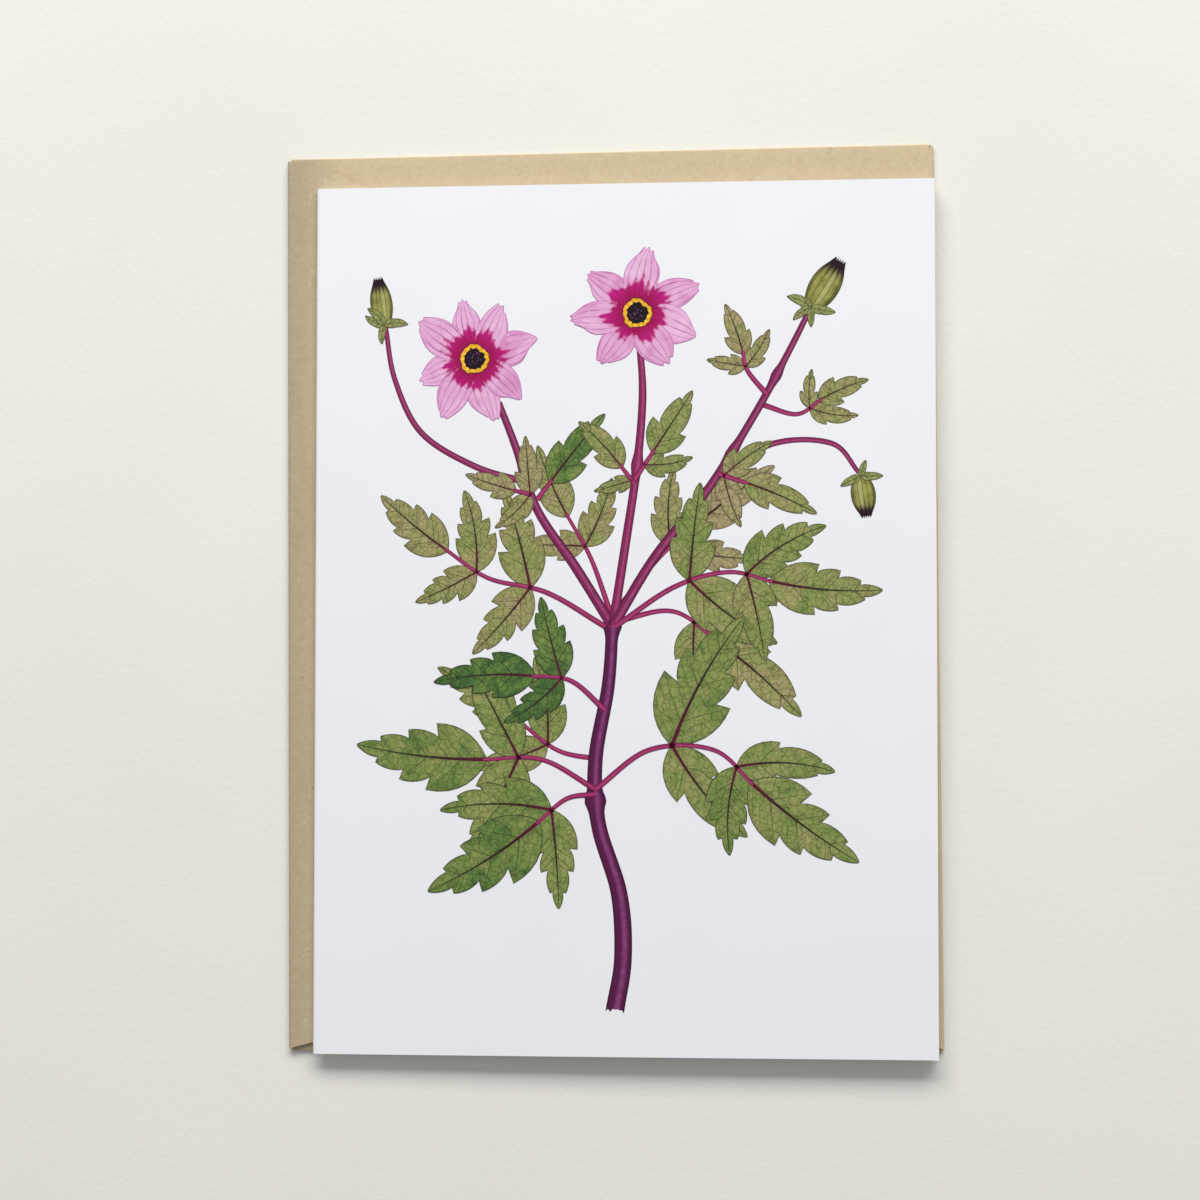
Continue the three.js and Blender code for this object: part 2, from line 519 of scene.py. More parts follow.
def paintPatch(bm, columns, rows, spotAt, lift, finish=0, tone=0.5):
    # a patch of paint: spotAt(u, v) says where each corner of its grid lies
    made = bmesh.ops.create_grid(
        bm, x_segments=columns, y_segments=rows, size=1, calc_uvs=True)
    tones = bm.verts.layers.float["tone"]
    faces = set()
    for index, vert in enumerate(made["verts"]):
        spot = spotAt(index % (columns + 1) / columns, index // (columns + 1) / rows)
        vert.co = onCover(spot[0], spot[1], lift)
        vert[tones] = tone
        faces.update(vert.link_faces)
    for face in faces:
        face.material_index = finish


def paintDot(bm, centre, radiusAt, lift, finish=0, tone=0.5, segments=24):
    made = bmesh.ops.create_circle(bm, cap_ends=True, segments=segments, radius=1)
    tones = bm.verts.layers.float["tone"]
    for index, vert in enumerate(made["verts"]):
        angle = 2 * math.pi * index / segments
        radius = radiusAt(angle)
        x = centre[0] + radius * math.cos(angle)
        y = centre[1] + radius * math.sin(angle)
        vert.co = onCover(x, y, lift)
        vert[tones] = tone
    for face in made["verts"][0].link_faces:
        face.material_index = finish


def finishPaint(name, bm, finishes, lift):
    bm.normal_update()
    bmesh.ops.reverse_faces(bm, faces=[face for face in bm.faces if face.normal.z < 0])
    piece = makePiece(name, bm, finishes, "cover")
    piece.data.shade_flat()
    skin = piece.modifiers.new("thickness", "SOLIDIFY")
    skin.thickness = (lift + paint["layer"] + paint["sink"]) * mm
    skin.offset = -1
    return piece


def curveThrough(points, count):
    # evenly numbered points on a smooth curve through the given ones
    knots = [Vector(point) for point in points]
    knots = [2 * knots[0] - knots[1]] + knots + [2 * knots[-1] - knots[-2]]
    spans = len(knots) - 3
    found = []
    for index in range(count + 1):
        place = index / count * spans
        span = min(int(place), spans - 1)
        t = place - span
        a, b, c, d = knots[span:span + 4]
        found.append(0.5 * (
            2 * b + (c - a) * t + (2 * a - 5 * b + 4 * c - d) * t ** 2
            + (3 * b - a - 3 * c + d) * t ** 3))
    return found


def sideways(points, index):
    before, after = points[max(index - 1, 0)], points[min(index + 1, len(points) - 1)]
    along = (after - before).normalized()
    return Vector((-along.y, along.x))


def ribbon(bm, points, widthAt, lift, finish=0, tone=0.5, rows=1, torn=None):
    # a stroke of paint or ink along a row of points; torn roughens its first end
    last = len(points) - 1

    def spotAt(u, v):
        index = round(u * last)
        spot = points[index] + sideways(points, index) * (v - 0.5) * widthAt(u)
        if torn and index == 0:
            spot += (points[0] - points[1]).normalized() * torn[round(v * rows)]
        return spot
    paintPatch(bm, last, rows, spotAt, lift, finish, tone)


# finishes of the print

leafGreens = [
    (0.0, paintColour(170, 156, 114)),
    (0.25, paintColour(158, 156, 98)),
    (0.5, paintColour(140, 152, 84)),
    (0.75, paintColour(110, 136, 66)),
    (1.0, paintColour(70, 106, 52)),
]


def paintFinish(name, roughness=0.6):
    material, tree, shader, place = newFinish(name, roughness, 0.22)
    uv = addNode(tree, "UVMap", uv_map="paint").outputs["UV"]
    split = addNode(tree, "SeparateXYZ", {"Vector": uv})
    tone = addNode(tree, "Attribute", attribute_name="tone").outputs["Fac"]
    return material, tree, shader, place, split.outputs["X"], split.outputs["Y"], tone


def offMiddle(tree, across):
    # 0 on the middle line of a stroke or leaf, 1 on its edges
    centred = maths(tree, "SUBTRACT", across, 0.5)
    return maths(tree, "MULTIPLY", maths(tree, "ABSOLUTE", centred), 2.0)


def makeLeafPaint():
    material, tree, shader, place, along, across, tone = paintFinish("leafPaint")
    wash = noiseAt(tree, place, 210.0, 4.0, 0.6, 0.6)
    shift = remap(tree, wash, 0.3, 0.7, -0.26, 0.26)
    colour = ramp(tree, maths(tree, "ADD", tone, shift), leafGreens)
    # brush strokes that follow the side veins, and a net of fine veins
    wobble = maths(tree, "MULTIPLY", noiseAt(tree, place, 500.0, 2.0), 9.0)
    stripes = maths(tree, "ADD", maths(tree, "MULTIPLY", along, 95.0), wobble)
    colour = shadeBy(tree, colour, remap(tree, maths(tree, "SINE", stripes), -1, 1, 0.93, 1.05))
    jog = addNode(tree, "TexNoise", {"Vector": place, "Scale": 900.0, "Detail": 2.0})
    jogged = addNode(
        tree, "VectorMath", {0: jog.outputs["Color"], 1: (0.0009,) * 3, 2: place},
        operation="MULTIPLY_ADD")
    for scale, width, depth in ((620.0, 0.10, 0.60), (1300.0, 0.13, 0.80)):
        net = addNode(
            tree, "TexVoronoi", {"Vector": jogged.outputs[0], "Scale": scale},
            feature="DISTANCE_TO_EDGE")
        netShade = remap(tree, net.outputs["Distance"], 0.0, width, depth, 1.02, True)
        colour = shadeBy(tree, colour, netShade)
    grain = noiseAt(tree, place, 2300.0, 3.0, 0.75)
    colour = shadeBy(tree, colour, remap(tree, grain, 0.25, 0.75, 0.80, 1.22))
    edge = offMiddle(tree, across)
    colour = shadeBy(tree, colour, remap(tree, edge, 0.0, 0.28, 0.84, 1.0, True))
    colour = shadeBy(tree, colour, remap(tree, edge, 0.72, 1.0, 1.0, 0.86, True))
    tree.links.new(colour, shader.inputs["Base Color"])
    return material


def makeLineInk():
    material, tree, shader, place, _, _, tone = paintFinish("lineInk")
    colour = ramp(tree, tone, [
        (0.0, paintColour(104, 88, 60)),
        (0.5, paintColour(74, 80, 40)),
        (1.0, paintColour(28, 46, 24)),
    ])
    press = noiseAt(tree, place, 700.0, 2.0)
    colour = shadeBy(tree, colour, remap(tree, press, 0.3, 0.7, 0.75, 1.3))
    tree.links.new(colour, shader.inputs["Base Color"])
    return material


def makeRibInk():
    # the middle rib: wine red where it leaves the stalk, dark green towards the tip
    material, tree, shader, _, along, _, _ = paintFinish("ribInk")
    colour = ramp(tree, along, [
        (0.0, paintColour(96, 18, 48)),
        (0.28, paintColour(58, 22, 28)),
        (0.6, paintColour(40, 46, 24)),
        (1.0, paintColour(62, 74, 36)),
    ])
    tree.links.new(colour, shader.inputs["Base Color"])
    return material


def makeStemPaint():
    material, tree, shader, place, _, across, tone = paintFinish("stemPaint")
    base = ramp(tree, tone, [
        (0.0, paintColour(84, 18, 68)),
        (0.5, paintColour(112, 28, 78)),
        (1.0, paintColour(156, 36, 92)),
    ])
    bright = ramp(tree, tone, [
        (0.0, paintColour(150, 74, 134)),
        (0.5, paintColour(168, 84, 128)),
        (1.0, paintColour(190, 76, 126)),
    ])
    streak = noiseAt(tree, place, 800.0, 3.0)
    gleam = remap(tree, maths(tree, "ABSOLUTE", maths(tree, "SUBTRACT", across, 0.42)),
                  0.0, 0.26, 0.85, 0.0, True)
    gleam = maths(tree, "MULTIPLY", gleam, remap(tree, streak, 0.3, 0.7, 0.45, 1.0))
    colour = mixColour(tree, gleam, base, bright)
    edge = offMiddle(tree, across)
    colour = mixColour(
        tree, remap(tree, edge, 0.62, 1.0, 0.0, 0.85, True), colour, paintColour(48, 8, 38))
    grain = noiseAt(tree, place, 2400.0, 3.0, 0.7)
    colour = shadeBy(tree, colour, remap(tree, grain, 0.25, 0.75, 0.82, 1.18))
    tree.links.new(colour, shader.inputs["Base Color"])
    return material


def makePetalPaint():
    material, tree, shader, place, along, across, tone = paintFinish("petalPaint")
    wash = noiseAt(tree, place, 260.0, 3.0, 0.5, 0.6)
    pinkness = maths(tree, "ADD", remap(tree, wash, 0.3, 0.7, 0.0, 0.7), tone)
    colour = ramp(tree, pinkness, [
        (0.15, paintColour(236, 190, 222)),
        (0.6, paintColour(227, 168, 208)),
        (1.0, paintColour(214, 140, 190)),
    ])
    # long veins from the base to the tip
    waver = maths(tree, "MULTIPLY", noiseAt(tree, place, 240.0, 2.0), 0.10)
    lanes = maths(tree, "MULTIPLY", maths(tree, "ADD", across, waver), 5.0)
    lane = maths(tree, "PINGPONG", lanes, 0.5)
    vein = remap(tree, lane, 0.36, 0.5, 0.0, 1.0, True)
    strength = remap(tree, noiseAt(tree, place, 420.0, 2.0), 0.35, 0.65, 0.3, 1.0)
    vein = maths(tree, "MULTIPLY", vein, strength)
    colour = mixColour(tree, vein, colour, paintColour(168, 76, 146))
    # the magenta flame at the base, longest on the middle line
    edge = offMiddle(tree, across)
    flicker = maths(tree, "MULTIPLY", maths(tree, "PINGPONG", lanes, 0.5), 0.15)
    ragged = maths(tree, "MULTIPLY", noiseAt(tree, place, 420.0, 3.0), 0.42)
    limit = maths(tree, "ADD", maths(tree, "ADD", flicker, ragged), 0.27)
    limit = maths(tree, "SUBTRACT", limit, maths(tree, "MULTIPLY", edge, 0.19))
    depth = maths(tree, "SUBTRACT", limit, along)
    flame = remap(tree, depth, -0.04, 0.07, 0.0, 1.0, True)
    flameColour = ramp(tree, along, [
        (0.0, paintColour(112, 0, 42)),
        (0.24, paintColour(160, 0, 84)),
        (0.5, paintColour(188, 22, 124)),
    ])
    flameColour = shadeBy(tree, flameColour, remap(tree, vein, 0.0, 1.0, 1.08, 0.72))
    colour = mixColour(tree, flame, colour, flameColour)
    grain = noiseAt(tree, place, 2500.0, 3.0, 0.7)
    colour = shadeBy(tree, colour, remap(tree, grain, 0.25, 0.75, 0.94, 1.06))
    tree.links.new(colour, shader.inputs["Base Color"])
    return material


def makePlainPaint(name, stops, scale=900.0, low=0.8, high=1.2):
    # one colour chosen by tone, a little uneven as brushed paint is
    material, tree, shader, place, _, _, tone = paintFinish(name)
    uneven = noiseAt(tree, place, scale, 3.0)
    colour = shadeBy(tree, ramp(tree, tone, stops), remap(tree, uneven, 0.3, 0.7, low, high))
    tree.links.new(colour, shader.inputs["Base Color"])
    return material


def makeBudPaint():
    material, tree, shader, place, along, across, _ = paintFinish("budPaint")
    colour = ramp(tree, noiseAt(tree, place, 420.0, 3.0), [
        (0.35, paintColour(112, 116, 44)),
        (0.65, paintColour(160, 160, 84)),
    ])
    bright = remap(tree, maths(tree, "ABSOLUTE", maths(tree, "SUBTRACT", across, 0.38)),
                   0.0, 0.25, 0.5, 0.0, True)
    colour = mixColour(tree, bright, colour, paintColour(196, 196, 128))
    lanes = maths(tree, "PINGPONG", maths(tree, "MULTIPLY", across, 5.0), 0.5)
    rib = maths(tree, "MULTIPLY", remap(tree, lanes, 0.36, 0.5, 0.0, 1.0, True), 0.8)
    colour = mixColour(tree, rib, colour, paintColour(58, 52, 30))
    tip = maths(tree, "ADD", along, maths(tree, "MULTIPLY", lanes, 0.22))
    tip = remap(tree, tip, 0.68, 0.92, 0.0, 1.0, True)
    colour = mixColour(tree, tip, colour, paintColour(34, 12, 26))
    edge = remap(tree, offMiddle(tree, across), 0.7, 1.0, 0.0, 0.8, True)
    colour = mixColour(tree, edge, colour, paintColour(44, 40, 22))
    tree.links.new(colour, shader.inputs["Base Color"])
    return material


leafPaint, lineInk, ribInk = makeLeafPaint(), makeLineInk(), makeRibInk()
stemPaint, petalPaint, budPaint = makeStemPaint(), makePetalPaint(), makeBudPaint()
petalLine = makePlainPaint("petalLine", [
    (0.0, paintColour(196, 122, 182)), (1.0, paintColour(150, 60, 130))])
antherPaint = makePlainPaint("antherPaint", [
    (0.0, paintColour(206, 130, 18)), (0.5, paintColour(236, 172, 34)),
    (1.0, paintColour(250, 206, 72))], 1400.0, 0.85, 1.12)
eyePaint = makePlainPaint("eyePaint", [
    (0.0, paintColour(18, 4, 20)), (0.5, paintColour(84, 26, 74)),
    (1.0, paintColour(150, 92, 128))], 1200.0, 0.7, 1.3)
print("paints and inks ready")

# leaves


def marginOf(leaf, side, hand):
    # one margin from base to tip: x runs along the leaf and y away from its rib, both as
    # shares of its length; between two teeth the margin is a convex run
    teeth, steps = leaf["teeth"], leaf["steps"]

    def wide(x):
        return leaf["width"] * math.sin(math.pi * x ** 0.68) ** 0.95

    def run(start, stop, bulge):
        out = Vector((start.y - stop.y, stop.x - start.x)) * side
        if out.y * side < 0:
            out = -out
        for step in range(1, steps + 1):
            share = step / steps
            yield start.lerp(stop, share) + out * bulge * 4 * share * (1 - share)

    here = Vector((0.0, 0.012 * side))
    margin = [here]
    for tooth in range(teeth):
        x = mix(leaf["firstTooth"], 0.83, tooth / max(teeth - 1, 1)) + hand.uniform(-0.02, 0.02)
        size = leaf["cut"] * hand.uniform(0.75, 1.25)
        tip = Vector((x, wide(x) * side * hand.uniform(0.98, 1.1)))
        notch = Vector((x - 0.22 * size * abs(tip.y), tip.y * (1 - size)))
        margin += run(here, tip, 0.10 if tooth else 0.17)
        margin.append(notch)
        here = notch
    margin += run(here, Vector((1.0, 0.004 * side)), 0.09)
    return margin


def makeLeaflet(bm, base, angle, length, leaf, tone, lift, hand):
    left, right = marginOf(leaf, 1, hand), marginOf(leaf, -1, hand)
    bend = hand.uniform(-1, 1) * leaf["bend"] + leaf.get("sweep", 0.0)
    rows, half = len(left) - 1, leaf["halfColumns"]
    lean = 0.95
    rib = [0.0]
    for a, b in zip(left[1:-1], right[1:-1]):
        wanted = (a.x + b.x) / 2 - lean * (abs(a.y) + abs(b.y)) / 2
        rib.append(max(wanted, rib[-1] + 0.006))
    rib.append(1.0)

    def leafSpot(x, y):
        turn = angle + bend * x
        spread = bend if abs(bend) > 1e-4 else 1e-4
        along = Vector((
            (math.sin(angle + spread * x) - math.sin(angle)) / spread,
            (math.cos(angle) - math.cos(angle + spread * x)) / spread))
        return Vector(base) + length * (along + y * Vector((-math.sin(turn), math.cos(turn))))

    def inside(row, share):
        side = left if share > 0 else right
        middle = Vector((rib[row], 0.0))
        spot = middle.lerp(side[row], abs(share))
        return leafSpot(spot.x, spot.y)

    paintPatch(
        bm, rows, 2 * half, lambda u, v: inside(round(u * rows), 2 * v - 1), lift, 0, tone)
    fine = leaf["line"]
    steps = leaf["steps"]
    for side, margin in ((1, left), (-1, right)):
        points = [leafSpot(spot.x, spot.y) for spot in margin]
        ribbon(bm, points, lambda u: fine, lift + paint["outline"], 1, tone)
        for tooth in range(leaf["teeth"]):
            row = (tooth + 1) * (steps + 1) - 1
            vein = [inside(row, side * share / 6 * 0.93) for share in range(7)]
            ribbon(
                bm, vein, lambda u: mix(fine * 1.05, fine * 0.45, u),
                lift + paint["vein"], 1, tone)
        for row in range(2, rows - 1, 2):
            if hand.random() < 0.45:
                vein = [inside(row, side * share / 4 * 0.75) for share in range(5)]
                ribbon(
                    bm, vein, lambda u: mix(fine * 0.6, fine * 0.3, u),
                    lift + paint["vein"], 1, tone * 0.7)
    spine = [leafSpot(share / 16 * 0.985, 0.0) for share in range(17)]
    thick = leaf["rib"] * length / 20
    ribbon(
        bm, spine, lambda u: mix(thick, fine * 0.8, u ** 0.7), lift + paint["rib"], 2, tone)


leafStyle = {
    "teeth": 3, "steps": 7, "width": 0.23, "firstTooth": 0.42, "cut": 0.40, "bend": 0.34,
    "halfColumns": 4, "line": 0.17, "rib": 0.62,
}


def makeLeaf(name, spec):
    hand = random.Random(spec["seed"])
    lift = spec["layer"] * paint["layer"]
    bm = startPaint()
    stalk = curveThrough(spec["stalk"], paint["stalkSteps"])
    style = dict(leafStyle, **spec.get("style", {}))
    leaflets = [(1.0, 0.0, spec["tip"])]
    for share, leftSize, rightSize, spread in spec["pairs"]:
        leaflets += [(share, spread, leftSize), (share, -spread, rightSize)]
    leaflets = [leaflet for leaflet in reversed(leaflets) if leaflet[2]]
    top = lift + (len(leaflets) - 1) * paint["leaflet"]
    for order, (share, spread, length) in enumerate(leaflets):
        index = round(share * paint["stalkSteps"])
        side = sideways(stalk, index)
        heading = math.atan2(-side.x, side.y) + math.radians(spread)
        tuck = 0.0 if share < 1 else 0.7
        base = stalk[index] - tuck * Vector((math.cos(heading), math.sin(heading)))
        leaf = dict(style, sweep=-0.2 * math.copysign(1, spread) if spread else 0.0)
        leaf["width"] *= hand.uniform(0.88, 1.1)
        leaf["teeth"] = min(style["teeth"], 2 if length < 14 else hand.choice([2, 3, 3]))
        tone = min(max(spec["tone"] + hand.uniform(-0.10, 0.10), 0), 1)
        leafletLift = lift + order * paint["leaflet"]
        makeLeaflet(bm, base, heading, length, leaf, tone, leafletLift, hand)
        if share < 1:
            joint = 0.02 * length + 0.12
            paintDot(bm, base, lambda a: joint, top + paint["joint"], 2, 0.0, 12)
    first, last = spec.get("width", (1.15, 0.7))
    ribbon(bm, stalk, lambda u: mix(first, last, u), top + paint["stalk"], 3, 0.9, 4)
    return finishPaint(name, bm, [leafPaint, lineInk, ribInk, stemPaint], lift)


# seed, layer, tone (0 brownish, 1 deep green), stalk, length of the end leaflet, and the pairs:
# share along the stalk, left and right lengths, spread in degrees
leaves = {
    "leaf_back_left": {
        "seed": 11, "layer": 0.3, "tone": 0.2, "stalk": [(61, 90), (57, 101), (52, 110)],
        "tip": 16, "pairs": [(0.62, 13, 15, 58)]},
    "leaf_back_right": {
        "seed": 12, "layer": 0.3, "tone": 0.12, "stalk": [(62, 90), (71, 101), (79, 108)],
        "tip": 20, "pairs": [(0.66, 16, 17, 60)]},
    "leaf_back_low_right": {
        "seed": 14, "layer": 1.4, "tone": 0.35, "stalk": [(62, 88), (74, 90), (84, 83)],
        "tip": 22, "pairs": [(0.7, 18, 17, 58)]},
    "leaf_low_back": {
        "seed": 13, "layer": 0.3, "tone": 0.4, "stalk": [(59, 60), (50, 62), (41, 69)],
        "tip": 19, "pairs": [(0.6, 16, 18, 60)]},
    "leaf_mid_left": {
        "seed": 21, "layer": 4, "tone": 0.3, "stalk": [(60, 87), (48, 94), (36, 97), (27, 103)],
        "tip": 18, "pairs": [(0.76, 14, 17, 62), (0.42, 18, 21, 66)]},
    "leaf_mid_right": {
        "seed": 22, "layer": 4, "tone": 0.42,
        "stalk": [(62, 87), (74, 95), (85, 98), (94, 96)],
        "tip": 23, "pairs": [(0.8, 19, 18, 60), (0.42, 20, 22, 66)]},
    "leaf_low_left": {
        "seed": 31, "layer": 4, "tone": 0.5, "stalk": [(58, 54), (47, 60), (35, 60)],
        "tip": 27, "pairs": [(0.7, 22, 21, 64)]},
    "leaf_low_right": {
        "seed": 32, "layer": 5.2, "tone": 0.55, "stalk": [(58, 54), (69, 62), (82, 62), (90, 55)],
        "tip": 27, "pairs": [(0.84, 20, 18, 60), (0.46, 30, 24, 66)]},
    "leaf_hanging_left": {
        "seed": 33, "layer": 5.2, "tone": 0.66, "stalk": [(58, 53), (52, 52), (46, 47)],
        "tip": 27, "pairs": [(0.75, 20, 23, 55)]},
    "leaf_dark": {
        "seed": 34, "layer": 6.4, "tone": 0.94, "stalk": [(60, 70), (53, 76), (45, 77)],
        "tip": 21, "pairs": [(0.62, 15, 17, 62)]},
    "leaf_node_left": {
        "seed": 41, "layer": 5.2, "tone": 0.16, "stalk": [(45, 114), (41, 115)],
        "tip": 11, "pairs": [(0.1, 10, 12, 70)], "style": {"teeth": 2}},
    "leaf_node_right": {
        "seed": 42, "layer": 5.2, "tone": 0.2, "stalk": [(83, 118), (89, 116)],
        "tip": 16, "pairs": [(0.2, 12, 11, 62)], "style": {"teeth": 2}},
    "leaf_flower": {
        "seed": 43, "layer": 4, "tone": 0.7, "stalk": [(46, 113), (49, 117)],
        "tip": 18, "pairs": [], "style": {"teeth": 2}},
    "leaf_middle_left": {
        "seed": 45, "layer": 4, "tone": 0.3, "stalk": [(66, 116), (63, 120)],
        "tip": 13, "pairs": [(0.2, 8, 0, 70)], "style": {"teeth": 2}},
    "leaf_middle_right": {
        "seed": 46, "layer": 5.2, "tone": 0.45, "stalk": [(66, 117), (70, 123)],
        "tip": 15, "pairs": [(0.5, 0, 10, 62)], "style": {"teeth": 2}},
    "leaf_right_high": {
        "seed": 47, "layer": 0.3, "tone": 0.3, "stalk": [(92, 132), (99, 130), (104, 133)],
        "tip": 11, "pairs": [(0.75, 8, 10, 60)], "style": {"teeth": 2}},
    "leaf_top": {
        "seed": 44, "layer": 4, "tone": 0.2, "stalk": [(93, 134), (89, 139), (88, 143)],
        "tip": 11, "pairs": [(0.6, 8, 9, 62)], "style": {"teeth": 2}},
}
for name, spec in leaves.items():
    makeLeaf(name, spec)
print("leaves painted")

# stems

stems = {
    "main": {
        "layer": 2.6, "tone": 0.05, "width": (3.9, 2.5), "cut": True, "nodes": (0.56, 0.99),
        "points": [
            (62, 9.5), (63.6, 20), (62.8, 33), (58.6, 47), (58, 60), (60.6, 75), (61.5, 88)]},
    "left": {
        "layer": 2.8, "tone": 0.6, "width": (2.2, 1.4), "nodes": (0.62,), "points": [
            (61.5, 87), (54, 99), (46, 111), (41.5, 124), (38, 133)]},
    "middle": {
        "layer": 3.0, "tone": 0.7, "width": (2.0, 1.4), "nodes": (0.5,), "points": [
            (61.5, 87), (64, 103), (66.5, 120), (67.6, 134), (67, 145)]},
    "right": {
        "layer": 3.2, "tone": 0.6, "width": (2.1, 1.1), "nodes": (0.49, 0.7), "points": [
            (61.5, 87), (70, 101), (81, 115), (91, 131), (98, 144), (101.5, 151)]},
    "bud_left": {
        "layer": 2.5, "tone": 0.7, "width": (1.4, 1.0), "points": [
            (44, 116.5), (33, 120), (22, 127), (16.5, 138), (14.5, 149)]},
    "bud_right": {
        "layer": 2.5, "tone": 0.7, "width": (1.3, 0.95), "points": [
            (82, 117), (94, 124), (106, 124), (111.5, 118)]},
}


def paintStem(bm, name, finish=0):
    spec = stems[name]
    lift = spec["layer"] * paint["layer"]
    first, last = spec["width"]
    points = curveThrough(spec["points"], paint["stemSteps"])
    length = sum((b - a).length for a, b in zip(points, points[1:]))
    hand = random.Random(len(name) * 7)
    wobble = [hand.uniform(0.96, 1.04) for _ in range(9)]

    def widthAt(u):
        knot = u * 8
        low = min(int(knot), 7)
        swell = sum(
            0.38 * math.exp(-((u - node) * length / 1.6) ** 2) for node in spec.get("nodes", ()))
        brush = mix(wobble[low], wobble[low + 1], smoothStep(knot - low))
        return (mix(first, last, u) + swell * first) * brush
    torn = [hand.uniform(-0.25, 0.55) for _ in range(9)] if spec.get("cut") else None
    ribbon(bm, points, widthAt, lift, finish, spec["tone"], 8, torn)


mainStem = startPaint()
paintStem(mainStem, "main")
finishPaint("main_stem", mainStem, [stemPaint], stems["main"]["layer"] * paint["layer"])
print("main stem painted")

# flowers

flower = {
    "length": 13.4, "width": 3.25, "start": 0.6, "columns": 20, "rows": 14,
    "ringOut": 2.8, "ringIn": 2.15, "anthers": 13, "specks": 26,
}


def makePetal(bm, centre, angle, length, width, tone, lift, hand):
    bend = hand.uniform(-0.16, 0.16)
    notch, teeth = hand.uniform(0.03, 0.07), hand.choice([1, 2, 2, 3])
    lopside = hand.uniform(-0.06, 0.06)

    def petalSpot(u, v):
        across = 2 * v - 1
        body = math.sin(math.pi * (0.10 + 0.79 * u ** 1.12)) ** 0.85
        tip = 1 - 0.06 * across ** 2 + lopside * across
        tip -= notch * (0.5 - 0.5 * math.cos(2 * math.pi * teeth * (v - 0.5)))
        along = length * u * mix(1.0, tip, smoothStep((u - 0.5) / 0.5))
        turn = angle + bend * u
        out = Vector((math.cos(turn), math.sin(turn)))
        side = Vector((-out.y, out.x))
        return Vector(centre) + out * (flower["start"] + along) + side * across * width * body

    columns, rows = flower["columns"], flower["rows"]
    paintPatch(bm, columns, rows, petalSpot, lift, 0, tone)
    edges = [petalSpot(step / 24, 0) for step in range(9, 25)]
    edges += [petalSpot(1, step / rows) for step in range(1, rows)]
    edges += [petalSpot(step / 24, 1) for step in range(24, 8, -1)]
    ribbon(bm, edges, lambda u: 0.13, lift + paint["vein"], 1, 0.25)


def makeFlower(name, spec):
    hand = random.Random(spec["seed"])
    lift = spec["layer"] * paint["layer"]
    bm = startPaint()
    paintStem(bm, spec["stem"], 4)
    count = spec["petals"]
    order = list(range(0, count, 2)) + list(range(1, count, 2))
    for place, petal in enumerate(order):
        angle = math.radians(spec["turn"]) + 2 * math.pi * petal / count
        angle += hand.uniform(-0.07, 0.07)
        size = hand.uniform(0.9, 1.05)
        makePetal(
            bm, spec["centre"], angle, (flower["length"] - flower["start"]) * size,
            flower["width"] * (8 / count) ** 0.5 * hand.uniform(0.86, 1.14), hand.uniform(0.0, 0.4),
            lift + place * paint["rib"], hand)
    lift += paint["layer"] + paint["rib"]
    centre = Vector(spec["centre"])
    phase = hand.uniform(0, 6)

    def lumpy(radius, depth, lumps):
        return lambda angle: radius * (
            1 + depth * abs(math.sin(angle * lumps / 2 + phase))
            + depth * 0.5 * math.sin(3 * angle + phase) + depth * 0.4 * math.sin(5 * angle))
    ringOut, ringIn, anthers = flower["ringOut"], flower["ringIn"], flower["anthers"]
    paintDot(bm, centre, lumpy(ringOut + 0.1, 0.10, anthers), lift, 3, 0.0, 96)
    paintDot(bm, centre, lumpy(ringOut - 0.05, 0.10, anthers), lift + paint["vein"], 2, 0.45, 96)
    for anther in range(anthers):
        angle = 2 * math.pi * anther / anthers + phase
        spot = centre + Vector((math.cos(angle), math.sin(angle))) * hand.uniform(2.4, 2.6)
        paintDot(
            bm, spot, lumpy(hand.uniform(0.26, 0.42), 0.15, 3), lift + paint["joint"],
            2, hand.uniform(0.6, 1.0), 12)
    paintDot(bm, centre, lumpy(ringIn - 0.1, 0.13, 9), lift + paint["rib"], 3, 0.0, 72)
    for _ in range(flower["specks"]):
        angle, radius = hand.uniform(0, 6.28), 1.5 * math.sqrt(hand.random())
        spot = centre + Vector((math.cos(angle), math.sin(angle))) * radius
        paintDot(
            bm, spot, lambda a: 0.11, lift + paint["stalk"], 3,
            hand.uniform(0.4, 1.0), 8)
    finishes = [petalPaint, petalLine, antherPaint, eyePaint, stemPaint]
    return finishPaint(name, bm, finishes, lift)


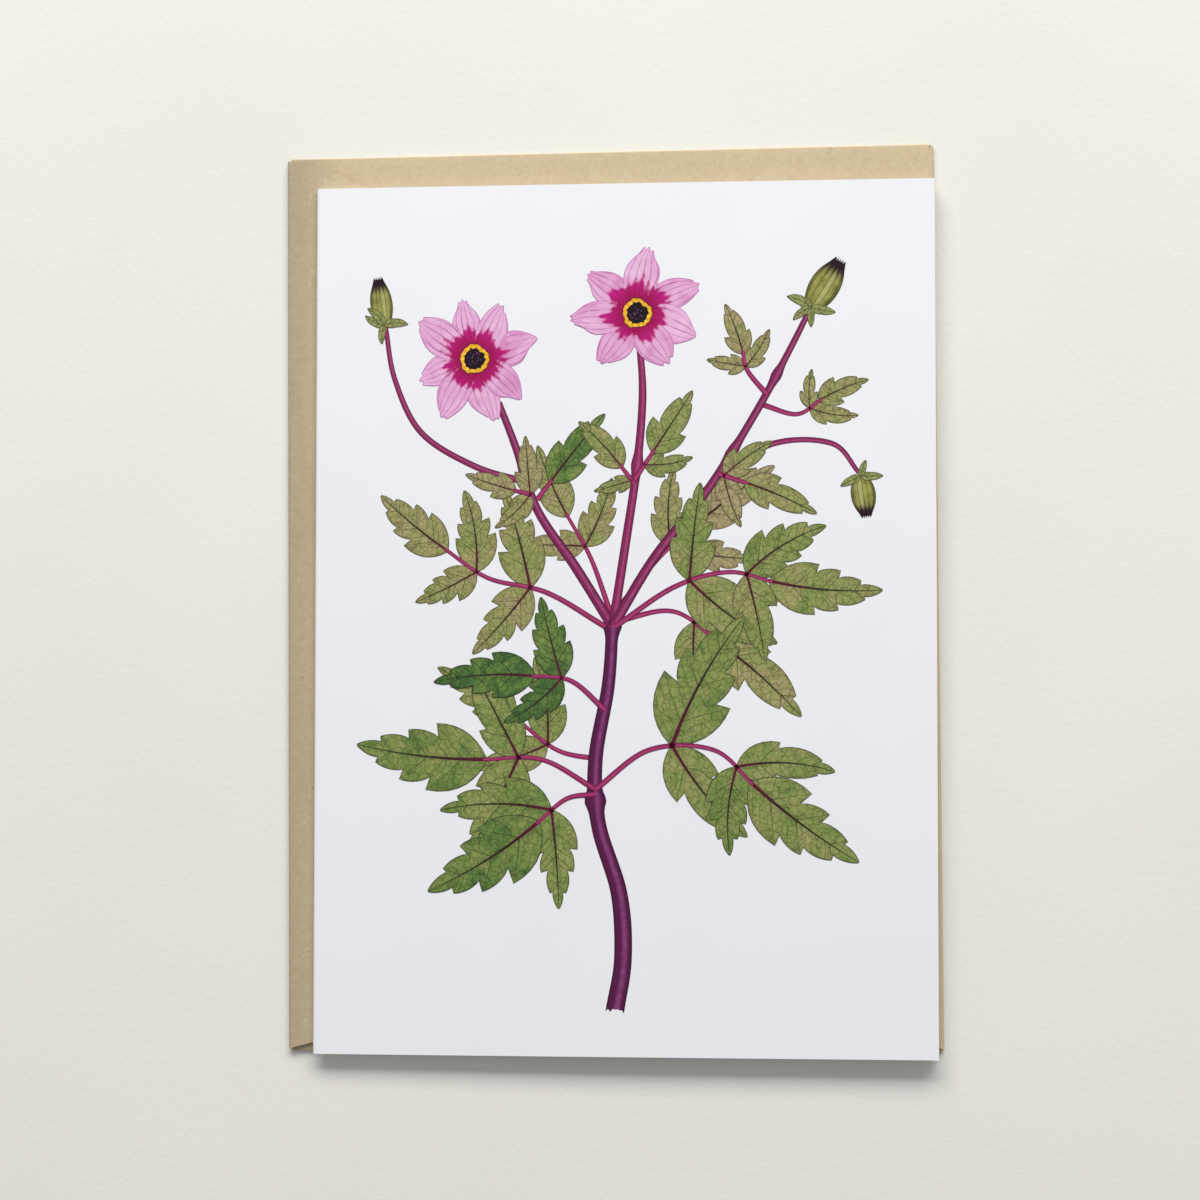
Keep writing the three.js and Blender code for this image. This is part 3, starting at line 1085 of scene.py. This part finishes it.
flowers = {
    "flower_left": {
        "seed": 5, "layer": 4, "centre": (33, 142), "turn": 12, "petals": 8, "stem": "left"},
    "flower_middle": {
        "seed": 8, "layer": 4, "centre": (66.5, 151), "turn": 35, "petals": 7, "stem": "middle"},
}
for name, spec in flowers.items():
    makeFlower(name, spec)
print("flowers painted")

# buds


def makeBud(name, spec):
    hand = random.Random(spec["seed"])
    lift = spec["layer"] * paint["layer"]
    heading = math.radians(spec["heading"])
    length, width = spec["size"]
    base = Vector(spec["base"])
    out = Vector((math.cos(heading), math.sin(heading)))
    side = Vector((-out.y, out.x))
    bm = startPaint()
    paintStem(bm, spec["stem"], 3)

    def budSpot(u, v):
        across = 2 * v - 1
        body = math.sin(math.pi * (0.09 + 0.82 * u ** 0.9)) ** 0.7
        ragged = 0.04 * math.cos(5 * math.pi * across) * smoothStep((u - 0.6) / 0.4)
        return base + out * length * (u + ragged) + side * across * width * body
    paintPatch(bm, 20, 14, budSpot, lift, 4, 0.5)
    sepal = dict(
        leafStyle, teeth=1, cut=0.05, width=0.17, line=0.14, rib=0.3, bend=0.7, steps=5,
        halfColumns=3)
    for order, (spread, size) in enumerate(spec["sepals"]):
        makeLeaflet(
            bm, base + out * 0.3, heading + math.radians(spread), size, sepal,
            spec["tone"], lift + (order + 1) * paint["leaflet"], hand)
    return finishPaint(name, bm, [leafPaint, lineInk, ribInk, stemPaint, budPaint], lift)


buds = {
    "bud_left": {
        "stem": "bud_left", "seed": 3, "layer": 4, "base": (14.3, 149), "heading": 98, "size": (10.0, 2.3),
        "tone": 0.35, "sepals": [(75, 4.5), (-80, 5), (150, 4), (20, 5)]},
    "bud_top": {
        "stem": "right", "seed": 4, "layer": 4, "base": (101.8, 151.5), "heading": 58, "size": (11.5, 3.1),
        "tone": 0.4, "sepals": [(80, 5.5), (-75, 5), (140, 4.5), (-150, 4)]},
    "bud_right": {
        "stem": "bud_right", "seed": 6, "layer": 4, "base": (111.8, 117.5),
        "heading": -82, "size": (8.5, 2.5),
        "tone": 0.4, "sepals": [(85, 4.5), (-80, 4.5), (160, 3.5)]},
}
for name, spec in buds.items():
    makeBud(name, spec)
print("buds painted")
